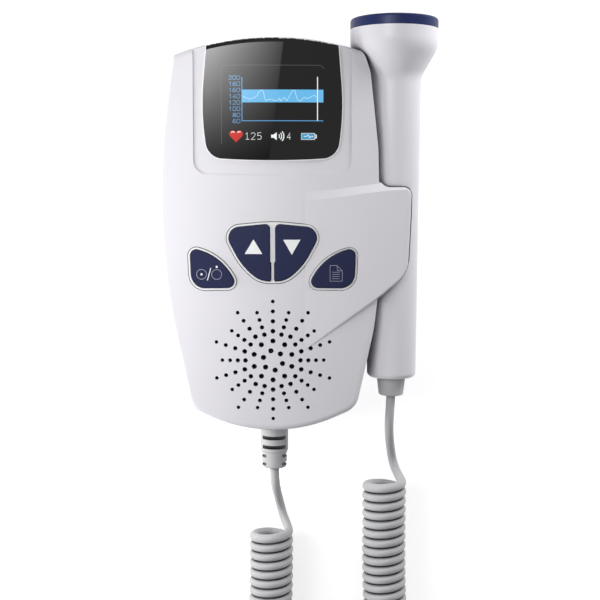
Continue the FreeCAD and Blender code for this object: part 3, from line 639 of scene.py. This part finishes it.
class DOPPLER_OT_cord(bpy.types.Operator):
    """Make the curly cord from the case's strain relief to the probe's"""

    bl_idname = "doppler.cord"
    bl_label = "Curly cord"

    # The route's control points in millimetres. The leads sink to the table before the curl,
    # so that they rise into its first turn.
    LEAD_UNIT = (
        (0.0, -90.3, 15.0), (0.05, -93.9, 15.0), (0.3, -97.3, 14.2), (0.7, -100.6, 11.9),
        (1.1, -103.2, 9.0), (1.45, -105.6, 6.2), (1.9, -108.4, 4.1), (2.6, -111.6, 3.2),
        (3.6, -114.8, 3.8), (4.95, -117.4, 5.8), (5.8, -118.7, 8.95),
    )
    LEAD_PROBE = (
        (45.5, -60.7, 18.5), (45.3, -64.7, 18.5), (45.1, -68.7, 18.3), (45.0, -72.7, 17.4),
        (45.2, -76.3, 15.4), (45.6, -79.4, 12.6), (46.1, -82.2, 9.4), (46.6, -84.9, 6.4),
        (47.1, -87.7, 4.2), (47.7, -90.9, 3.2), (48.7, -94.3, 3.8), (50.2, -97.0, 5.8),
        (51.3, -98.2, 8.95),
    )
    CURL = (
        (-1.5, -118.7, 8.95), (-1.3, -166.0, 8.95), (-8.4, -208.0, 8.95),
        (-4.5, -236.0, 8.95), (9.5, -254.0, 8.95), (33.0, -256.5, 8.95),
        (49.5, -239.0, 8.95), (52.3, -209.0, 8.95), (43.4, -160.0, 8.95),
        (44.0, -98.2, 8.95),
    )

    TURN_POINTS = 14
    # The probe carries the cord's far end. Two places across the case near the curl's bend, and
    # the bend's place along the case.
    STILL_TO, CARRIED_FROM, BEND = 11.0 * MM, 35.0 * MM, -200.0 * MM

    def spline(self, name, points, thickness=0.0):
        """The mesh of a smooth curve that has these control points, in metres."""
        # The turns bring many points, which need few steps between them.
        many_points = 100
        curve = bpy.data.curves.new(name, "CURVE")
        curve.dimensions = "3D"
        curve.resolution_u = 24 if len(points) < many_points else 2
        curve.bevel_depth = thickness / 2
        curve.bevel_resolution = 4
        curve.use_fill_caps = True
        line = curve.splines.new("NURBS")
        line.points.add(len(points) - 1)
        for target, point in zip(line.points, points):
            target.co = (*point, 1.0)
        line.order_u = 3
        line.use_endpoint_u = True
        holder = bpy.data.objects.new(name, curve)
        mesh = bpy.data.meshes.new_from_object(holder)
        bpy.data.objects.remove(holder)
        bpy.data.curves.remove(curve)
        return mesh

    def line(self, name, points):
        """Points along the smooth curve that has these control points."""
        mesh = self.spline(name, points)
        line = [vert.co.copy() for vert in mesh.vertices]
        bpy.data.meshes.remove(mesh)
        return line

    def turns(self, axis, cord):
        """Control points of the turns round the curl's axis, opened out where it bends."""
        tightest = 0.4
        tiny = 1e-9
        up = Vector((0, 0, 1))
        count = len(axis)
        tangents = [(axis[min(k + 2, count - 1)] - axis[max(k - 2, 0)]).normalized()
                    for k in range(count)]
        wound = [0.0]
        for k in range(1, count):
            step = (axis[k] - axis[k - 1]).length
            bend = tangents[k].angle(tangents[k - 1], 0.0) / max(step, tiny)
            opened = cord.pitch / max(1.0 - cord.curl_radius * bend, tightest)
            wound.append(wound[-1] + step / opened)
        # The probe's lead leaves from the same side as the unit's, half a turn on.
        whole = math.floor(wound[-1]) + 0.5
        reach = cord.curl_radius / math.cos(math.pi / self.TURN_POINTS)
        steps = int(whole * self.TURN_POINTS)
        points = []
        at = 0
        for index in range(steps + 1):
            want = wound[-1] * index / steps
            while at < count - 2 and wound[at + 1] < want:
                at += 1
            share = min((want - wound[at]) / max(wound[at + 1] - wound[at], tiny), 1.0)
            centre = axis[at].lerp(axis[at + 1], share)
            along = tangents[at].lerp(tangents[at + 1], share).normalized()
            side = up.cross(along).normalized()
            angle = 2 * math.pi * whole * index / steps
            points.append(centre + (side * math.cos(angle) + up * math.sin(angle)) * reach)
        return points

    def execute(self, context):
        cord = context.scene.doppler_cord
        first = [Vector(point) * MM for point in self.LEAD_UNIT]
        last = [Vector(point) * MM for point in self.LEAD_PROBE]
        axis = self.line("curl_axis", [Vector(point) * MM for point in self.CURL])
        route = first[:-1] + self.turns(axis, cord) + last[-2::-1]
        path = self.line("cord_route", route)
        rubber = {"roughness": 0.5, "grain": 2200.0, "depth": 0.05, "mottle": 0.05}
        material = moulded("cord_rubber", cord.colour, **rubber)
        # Painted shade in the creases between the cord's turns.
        crevices(material, 2.4 * MM, dark=0.08, closed=0.34, clear=0.92)
        tube = self.spline("curly_cord", route, cord.diameter)
        piece = new_object("curly_cord", tube, material, smooth=True)
        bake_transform(piece)
        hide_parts("cord_lead_unit", "cord_curl", "cord_lead_probe")
        dress(material, "probe_collar")
        # The strain relief: painted shade in its slots, and painted shade near the case's end.
        relief = slotted(moulded("relief_rubber", cord.colour, **rubber))
        dress(crevices(relief, 6.0 * MM), "cable_relief")
        return {"FINISHED"}


class DOPPLER_OT_case(bpy.types.Operator):
    """Finish the covers, the trims, the keys and the probe"""

    bl_idname = "doppler.case"
    bl_label = "Case, keys and probe"

    TRIMS = ("trim_left", "trim_centre", "trim_right")
    # The width of each painted line and how far outside its piece's edge it runs, in millimetres:
    # painted shade on the gaps round the trims, and a painted highlight round the window's rim.
    GROOVE_WIDE, GROOVE_OUT = 0.34, 0.13
    EDGE_WIDE, EDGE_OUT = 0.36, 0.12
    LINE_LIFT = 0.02 * MM
    CLIP_RIM_HEIGHT = 29.55 * MM
    PROBE_SMOOTHER = 0.04

    def execute(self, context):
        case = context.scene.doppler_case
        shell = moulded("case_plastic", case.case_colour, case.roughness)
        # Painted shade in the case's holes, gaps and steps.
        crevices(shell, 3.0 * MM, closed=0.1, clear=0.55)
        dress(shell, "front_cover", "back_cover", "battery_door")
        smooth = case.roughness - self.PROBE_SMOOTHER
        handle = moulded("probe_plastic", case.case_colour, smooth)
        # Painted shade on the probe where the case and its clip stand close to it.
        crevices(handle, 5.0 * MM, dark=0.04, closed=0.3, clear=0.66)
        dress(handle, "probe_front_shell", "probe_back_shell")
        dress(moulded("cap_plastic", case.cap_colour, 0.38, shine=0.25), "probe_cap")
        dress(moulded("trim_plastic", case.trim_colour, 0.30), *self.TRIMS)
        keys = moulded("key_plastic", case.key_colour, 0.45, depth=0.05, mottle=0.08, shine=0.2)
        dress(keys, "button_power", "button_up", "button_down", "button_record")
        dress(pane_black("window_black"), "display_window")
        # Dark lines of painted shade on the gaps round the trims and under the clip's rim.
        gap_shade_line = moulded("groove_shade", (0.11, 0.11, 0.115), 0.6, shine=0.2)
        for node in self.TRIMS:
            self.edge_line(node + "_groove", node, self.GROOVE_WIDE, self.GROOVE_OUT, gap_shade_line)
        printed("clip_edge", self.clip_edge(), gap_shade_line, "unit", self.CLIP_RIM_HEIGHT, flat=True)
        # A pale line of painted highlight round the display window's rim.
        edge = moulded("edge_plastic", (0.93, 0.92, 0.95), 0.3)
        self.edge_line("window_edge", "display_window", self.EDGE_WIDE, self.EDGE_OUT, edge)
        return {"FINISHED"}

    def edge_line(self, name, node, wide, out, material):
        """A line round a node's upper face."""
        outline = grown(top_outline(node), out)
        printed(name, ribbon(outline, wide, closed=True), material, "unit", self.LINE_LIFT)

    def clip_edge(self):
        """A dark line of painted shadow on the gap under the clip's rim, where it stands over the
        probe.
        """
        corner_x, corner_y, corner_round = 48.6, 16.6, 3.05
        end_wide, side_wide = 0.6, 0.36
        end = [(42.5, 19.6), (corner_x, 19.6)]
        end += arc_points(corner_x, corner_y, corner_round, 84, 40, 4)
        side = arc_points(corner_x, corner_y - 0.1, corner_round, 40, 0, 4)
        side += [(51.55, 10.0), (51.15, 0.0), (50.8, -7.9)]
        side += arc_points(40.0, -7.5, 10.6, -6, -50, 8)
        side += [(43.0, -18.75), (41.6, -19.95)]
        return ribbon(end, end_wide) + ribbon(side, side_wide)


class DOPPLER_OT_inside(bpy.types.Operator):
    """Finish the pieces inside the case and the probe"""

    bl_idname = "doppler.inside"
    bl_label = "Inner pieces"

    def execute(self, context):
        finishes = (
            (moulded("board_green", (0.02, 0.14, 0.06), 0.35), ("main_board", "probe_board")),
            (moulded("part_black", (0.018, 0.018, 0.02), 0.45),
             ("display_frame", "tact_switches", "earphone_jack", "speaker_cone",
              "transducer_backing")),
            (moulded("screen_dark", (0.03, 0.035, 0.05), 0.2), ("display_module",)),
            (moulded("foam_black", (0.02, 0.02, 0.02), 0.9, grain=900.0, depth=0.3),
             ("display_gasket", "speaker_gasket")),
            (moulded("battery_wrap", (0.05, 0.12, 0.36), 0.25), ("battery_pack",)),
            (brushed("speaker_steel", (0.34, 0.34, 0.35)), ("speaker_frame", "speaker_magnet")),
            (brushed("screw_steel", (0.55, 0.55, 0.56)), ("case_screws",)),
            (moulded("crystal_tan", (0.52, 0.42, 0.27), 0.5), ("piezo_crystals",)),
        )
        for material, nodes in finishes:
            dress(material, *nodes)
        return {"FINISHED"}


class DOPPLER_OT_marks(bpy.types.Operator):
    """Print the signs on the keys"""

    bl_idname = "doppler.marks"
    bl_label = "Key signs"

    # All places and widths are in millimetres.
    ARROWS = (
        ("button_up", "key_up", [(-7.06, 0.4), (-10.3, -5.0), (-3.8, -5.0)]),
        ("button_down", "key_down", [(7.08, -5.35), (10.25, 0.25), (3.9, 0.25)]),
    )
    RING_LEFT, RING_RIGHT, RING_MIDDLE = -26.48, -20.78, -12.66
    RING_RADIUS, RING_WIDE, DOT_RADIUS = 1.85, 0.22, 0.42
    DOT_OVER_RING = 2.82
    SLASH, SLASH_WIDE = [(-22.95, -10.3), (-24.3, -14.9)], 0.31
    PAGE_LEFT, PAGE_RIGHT, PAGE_TOP, PAGE_FOOT = 21.25, 25.8, -9.35, -15.2
    PAGE_FOLD, PAGE_WIDE = 2.0, 0.19
    PAGE_ROWS, FIRST_ROW, ROW_STEP, ROW_WIDE = 4, -11.85, 0.8, 0.2

    def execute(self, context):
        proud = context.scene.doppler_case.key_proud
        white = moulded("print_white", (0.95, 0.95, 0.95), 0.5, mottle=0.02)
        pale = moulded("print_pale", (0.30, 0.31, 0.41), 0.5, mottle=0.03)
        for node, body, corners in self.ARROWS:
            printed(node + "_arrow", [corners], white, body, proud)
        printed("power_rings", self.rings(), pale, "key_power", proud)
        printed("power_dots", self.dots(), white, "key_power", proud)
        printed("record_page", self.page(), pale, "key_record", proud)
        return {"FINISHED"}

    def rings(self):
        """The two rings of the power key's sign."""
        shapes = []
        for x in (self.RING_LEFT, self.RING_RIGHT):
            turn = arc_points(x, self.RING_MIDDLE, self.RING_RADIUS, 0, 345, 23)
            shapes += ribbon(turn, self.RING_WIDE, closed=True)
        return shapes

    def dots(self):
        """A dot in one ring and one over the other, and the slash between them."""
        shapes = [disc(self.RING_LEFT, self.RING_MIDDLE, self.DOT_RADIUS),
                  disc(self.RING_RIGHT, self.RING_MIDDLE + self.DOT_OVER_RING, self.DOT_RADIUS)]
        return shapes + ribbon(self.SLASH, self.SLASH_WIDE)

    def page(self):
        """The record key's sign: a page of lines with a folded corner."""
        fold_x, fold_y = self.PAGE_RIGHT - self.PAGE_FOLD, self.PAGE_TOP - self.PAGE_FOLD
        outline = [(self.PAGE_LEFT, self.PAGE_TOP), (fold_x, self.PAGE_TOP),
                   (self.PAGE_RIGHT, fold_y), (self.PAGE_RIGHT, self.PAGE_FOOT),
                   (self.PAGE_LEFT, self.PAGE_FOOT)]
        fold = [(fold_x, self.PAGE_TOP), (fold_x + 0.2, fold_y + 0.1), (self.PAGE_RIGHT, fold_y)]
        shapes = ribbon(outline, self.PAGE_WIDE, closed=True) + ribbon(fold, self.PAGE_WIDE)
        for row in range(self.PAGE_ROWS):
            height = self.FIRST_ROW - self.ROW_STEP * row
            line = [(self.PAGE_LEFT + 0.75, height), (self.PAGE_RIGHT - 0.95, height)]
            shapes += ribbon(line, self.ROW_WIDE)
        return shapes


class DOPPLER_OT_picture(bpy.types.Operator):
    """Light the display's picture: scale, trace, rate, volume and battery"""

    bl_idname = "doppler.picture"
    bl_label = "Display picture"

    # All places, sizes and widths are in millimetres.
    SCALE_RIGHT, SCALE_TOP, SCALE_STEP = -11.85, 59.3, 2.25
    FOOT_DROP = 0.75
    AXIS_X, AXIS_FOOT, AXIS_RIGHT = -11.1, 43.65, 18.6
    BAND_LEFT, BAND_LOW, BAND_RIGHT, BAND_HIGH = -11.2, 50.3, 18.65, 54.9
    CURSOR_X, CURSOR_TOP, CURSOR_FOOT = 16.5, 59.5, 43.7
    # The trace as (across, up) shares of the band.
    TRACE = (
        (0.01, 0.51), (0.06, 0.33), (0.10, 0.25), (0.15, 0.35), (0.19, 0.51), (0.21, 0.80),
        (0.235, 0.94), (0.26, 0.94), (0.272, 0.68), (0.282, 0.33), (0.296, 0.13), (0.33, 0.22),
        (0.366, 0.22), (0.413, 0.13), (0.45, 0.19), (0.465, 0.33), (0.479, 0.10), (0.521, 0.39),
        (0.554, 0.13), (0.587, 0.51), (0.62, 0.91), (0.652, 0.94), (0.662, 0.62), (0.681, 0.22),
        (0.718, 0.07), (0.76, 0.39), (0.803, 0.30), (0.836, 0.39), (0.887, 0.57), (0.915, 0.39),
    )
    SIGNS_FOOT, SIGNS_HIGH = 36.85, 2.45
    HEART_X, HEART_Y, HEART_HALF = -13.3, 38.0, 2.5
    RATE_RIGHT = -4.05
    HORN_X, HORN_Y = -0.45, 38.05
    VOLUME_RIGHT = 6.65
    BATTERY_LEFT, BATTERY_RIGHT, BATTERY_TOP = 10.6, 15.45, 39.1
    SCREEN_HALF, SCREEN_LOW, SCREEN_HIGH, SCREEN_CORNER = 18.7, 35.2, 63.7, 1.6

    def execute(self, context):
        picture = context.scene.doppler_picture
        glow = picture.glow
        white = lit("lit_white", (0.85, 0.88, 0.9), glow)
        band = lit("lit_band", picture.band_colour, glow)
        self.scale(lit("lit_scale", picture.scale_colour, glow))
        self.trace(band, lit("lit_pale", (0.50, 0.76, 0.93), glow), white)
        shine = lit("lit_heart_shine", (0.95, 0.62, 0.58), glow)
        self.heart(lit("lit_heart", picture.heart_colour, glow), shine)
        self.rate(white)
        self.volume(white)
        self.battery(white, lit("lit_charge", (0.06, 0.33, 0.56), glow))
        self.screen_edge(lit("lit_frame", (0.075, 0.077, 0.08), glow))
        return {"FINISHED"}

    def mark(self, name, shapes, material, layer):
        """A part of the picture, so many thicknesses of print over the glass."""
        lift = layer * bpy.context.scene.doppler_case.mark_lift
        printed("picture_" + name, shapes, material, "unit", lift)

    def scale(self, material):
        """The numbers from 200 down to 60 and the two axes."""
        shapes = []
        for row, value in enumerate(range(200, 40, -20)):
            foot = self.SCALE_TOP - self.FOOT_DROP - self.SCALE_STEP * row
            shapes += numerals(str(value), right=self.SCALE_RIGHT, foot=foot,
                               wide=1.12, high=1.42, gap=0.36, stroke=0.17)
        corner = (self.AXIS_X, self.AXIS_FOOT)
        shapes += ribbon([(self.AXIS_X, self.SCALE_TOP + 0.1), corner], 0.3)
        shapes += ribbon([corner, (self.AXIS_RIGHT, self.AXIS_FOOT)], 0.28)
        self.mark("scale", shapes, material, 0.0)

    def trace(self, band, pale, white):
        """The heart rate's trace on its band, and the cursor across it."""
        left, low, right, high = self.BAND_LEFT, self.BAND_LOW, self.BAND_RIGHT, self.BAND_HIGH
        box = [(left, low), (right, low), (right, high), (left, high)]
        self.mark("band", [box], band, 1.0)
        line = [(left + (right - left) * x, low + (high - low) * y) for x, y in self.TRACE]
        self.mark("trace", ribbon(line, 0.20), pale, 2.0)
        cursor = [(self.CURSOR_X, self.CURSOR_TOP), (self.CURSOR_X, self.CURSOR_FOOT)]
        self.mark("cursor", ribbon(cursor, 0.34), white, 3.0)

    def heart(self, red, shine):
        """A heart, from the usual curve that is 16 units to each side, and its two glints."""
        x, y, half = self.HEART_X, self.HEART_Y, self.HEART_HALF
        raised = 0.3
        steps = 40
        outline = []
        for step in range(steps):
            angle = 2 * math.pi * step / steps
            across = math.sin(angle) ** 3
            up = (13 * math.cos(angle) - 5 * math.cos(2 * angle) - 2 * math.cos(3 * angle)
                  - math.cos(4 * angle)) / 16
            outline.append((x + half * across, y + half * up + raised))
        self.mark("heart", [outline], red, 0.0)
        out, up, radius, wide = 1.15, 0.95, 0.75, 0.42
        glints = ribbon(arc_points(x - out, y + up, radius, 150, 40, 8), wide)
        glints += ribbon(arc_points(x + out, y + up, radius, 150, 50, 8), wide)
        self.mark("heart_shine", glints, shine, 1.0)

    def rate(self, material):
        """The number of beats a minute, its first digit on a short foot."""
        shapes = numerals("125", right=self.RATE_RIGHT, foot=self.SIGNS_FOOT,
                          wide=1.45, high=self.SIGNS_HIGH, gap=0.80, stroke=0.16)
        foot = self.SIGNS_FOOT + 0.08
        shapes += ribbon([(-9.75, foot), (-8.45, foot)], 0.16)
        self.mark("rate", shapes, material, 0.0)

    def volume(self, material):
        """A horn with three sound arcs, and the volume's step."""
        x, y = self.HORN_X, self.HORN_Y
        shapes = [[(x, y - 0.55), (x + 0.9, y - 0.55), (x + 2.05, y - 1.45),
                   (x + 2.05, y + 1.45), (x + 0.9, y + 0.55), (x, y + 0.55)]]
        for radius, wide in ((0.95, 0.32), (1.75, 0.34), (2.55, 0.36)):
            shapes += ribbon(arc_points(x + 2.1, y, radius, -42, 42, 10), wide)
        shapes += numerals("4", right=self.VOLUME_RIGHT, foot=self.SIGNS_FOOT,
                           wide=1.2, high=self.SIGNS_HIGH, gap=0.0, stroke=0.17)
        self.mark("volume", shapes, material, 0.0)

    def battery(self, white, fill):
        """A battery with a charge, an edge, a round end and a zigzag."""
        left, right = self.BATTERY_LEFT, self.BATTERY_RIGHT
        low, high = self.SIGNS_FOOT, self.BATTERY_TOP
        inner = 0.2
        box = [(left + inner, low + inner), (right - inner, low + inner),
               (right - inner, high - inner), (left + inner, high - inner)]
        self.mark("battery_charge", [box], fill, 0.0)
        edge = ribbon([(left, low), (right, low), (right, high), (left, high)], 0.16, closed=True)
        middle = (low + high) / 2
        edge += ribbon(arc_points(right - 0.35, middle, 0.95, -48, 48, 8), 0.42)
        self.mark("battery_edge", edge, white, 1.0)
        bolt = [(left + 0.9, middle), (left + 1.9, middle + 0.05), (left + 2.5, middle + 0.55),
                (left + 3.0, middle - 0.45), (left + 3.6, middle), (left + 4.4, middle)]
        self.mark("battery_sign", ribbon(bolt, 0.2), white, 1.0)

    def screen_edge(self, material):
        """The faint outline of the display, up its left side and along its top."""
        side, corner = self.SCREEN_HALF, self.SCREEN_CORNER
        top = self.SCREEN_HIGH - corner
        line = [(-side, self.SCREEN_LOW)]
        line += arc_points(-side + corner, top, corner, 180, 90, 6)
        line += arc_points(side - corner, top, corner, 90, 10, 6)
        self.mark("screen_edge", ribbon(line, 0.2), material, 0.0)


class DOPPLER_PT_panel(bpy.types.Panel):
    """The operators that make the monitor's looks"""

    bl_idname = "DOPPLER_PT_panel"
    bl_label = "Fetal doppler monitor"
    bl_space_type = "VIEW_3D"
    bl_region_type = "UI"
    bl_category = "Doppler"

    def draw(self, context):
        for operator in OPERATORS:
            self.layout.operator(operator.bl_idname)
        for name, group in SETTINGS.items():
            box = self.layout.box()
            box.label(text=group.__doc__)
            for field in group.__annotations__:
                box.prop(getattr(context.scene, name), field)


OPERATORS = (
    DOPPLER_OT_stage,
    DOPPLER_OT_cord,
    DOPPLER_OT_case,
    DOPPLER_OT_inside,
    DOPPLER_OT_marks,
    DOPPLER_OT_picture,
)
CLASSES = (*SETTINGS.values(), *OPERATORS, DOPPLER_PT_panel)


def register():
    for cls in CLASSES:
        bpy.utils.register_class(cls)
    for name, group in SETTINGS.items():
        setattr(bpy.types.Scene, name, bpy.props.PointerProperty(type=group))


def unregister():
    for name in SETTINGS:
        delattr(bpy.types.Scene, name)
    for cls in reversed(CLASSES):
        bpy.utils.unregister_class(cls)


def main():
    """Make the stage and every piece."""
    register()
    bpy.ops.doppler.stage()
    bpy.ops.doppler.cord()
    bpy.ops.doppler.case()
    bpy.ops.doppler.inside()
    bpy.ops.doppler.marks()
    bpy.ops.doppler.picture()


if __name__ == "__main__":
    main()
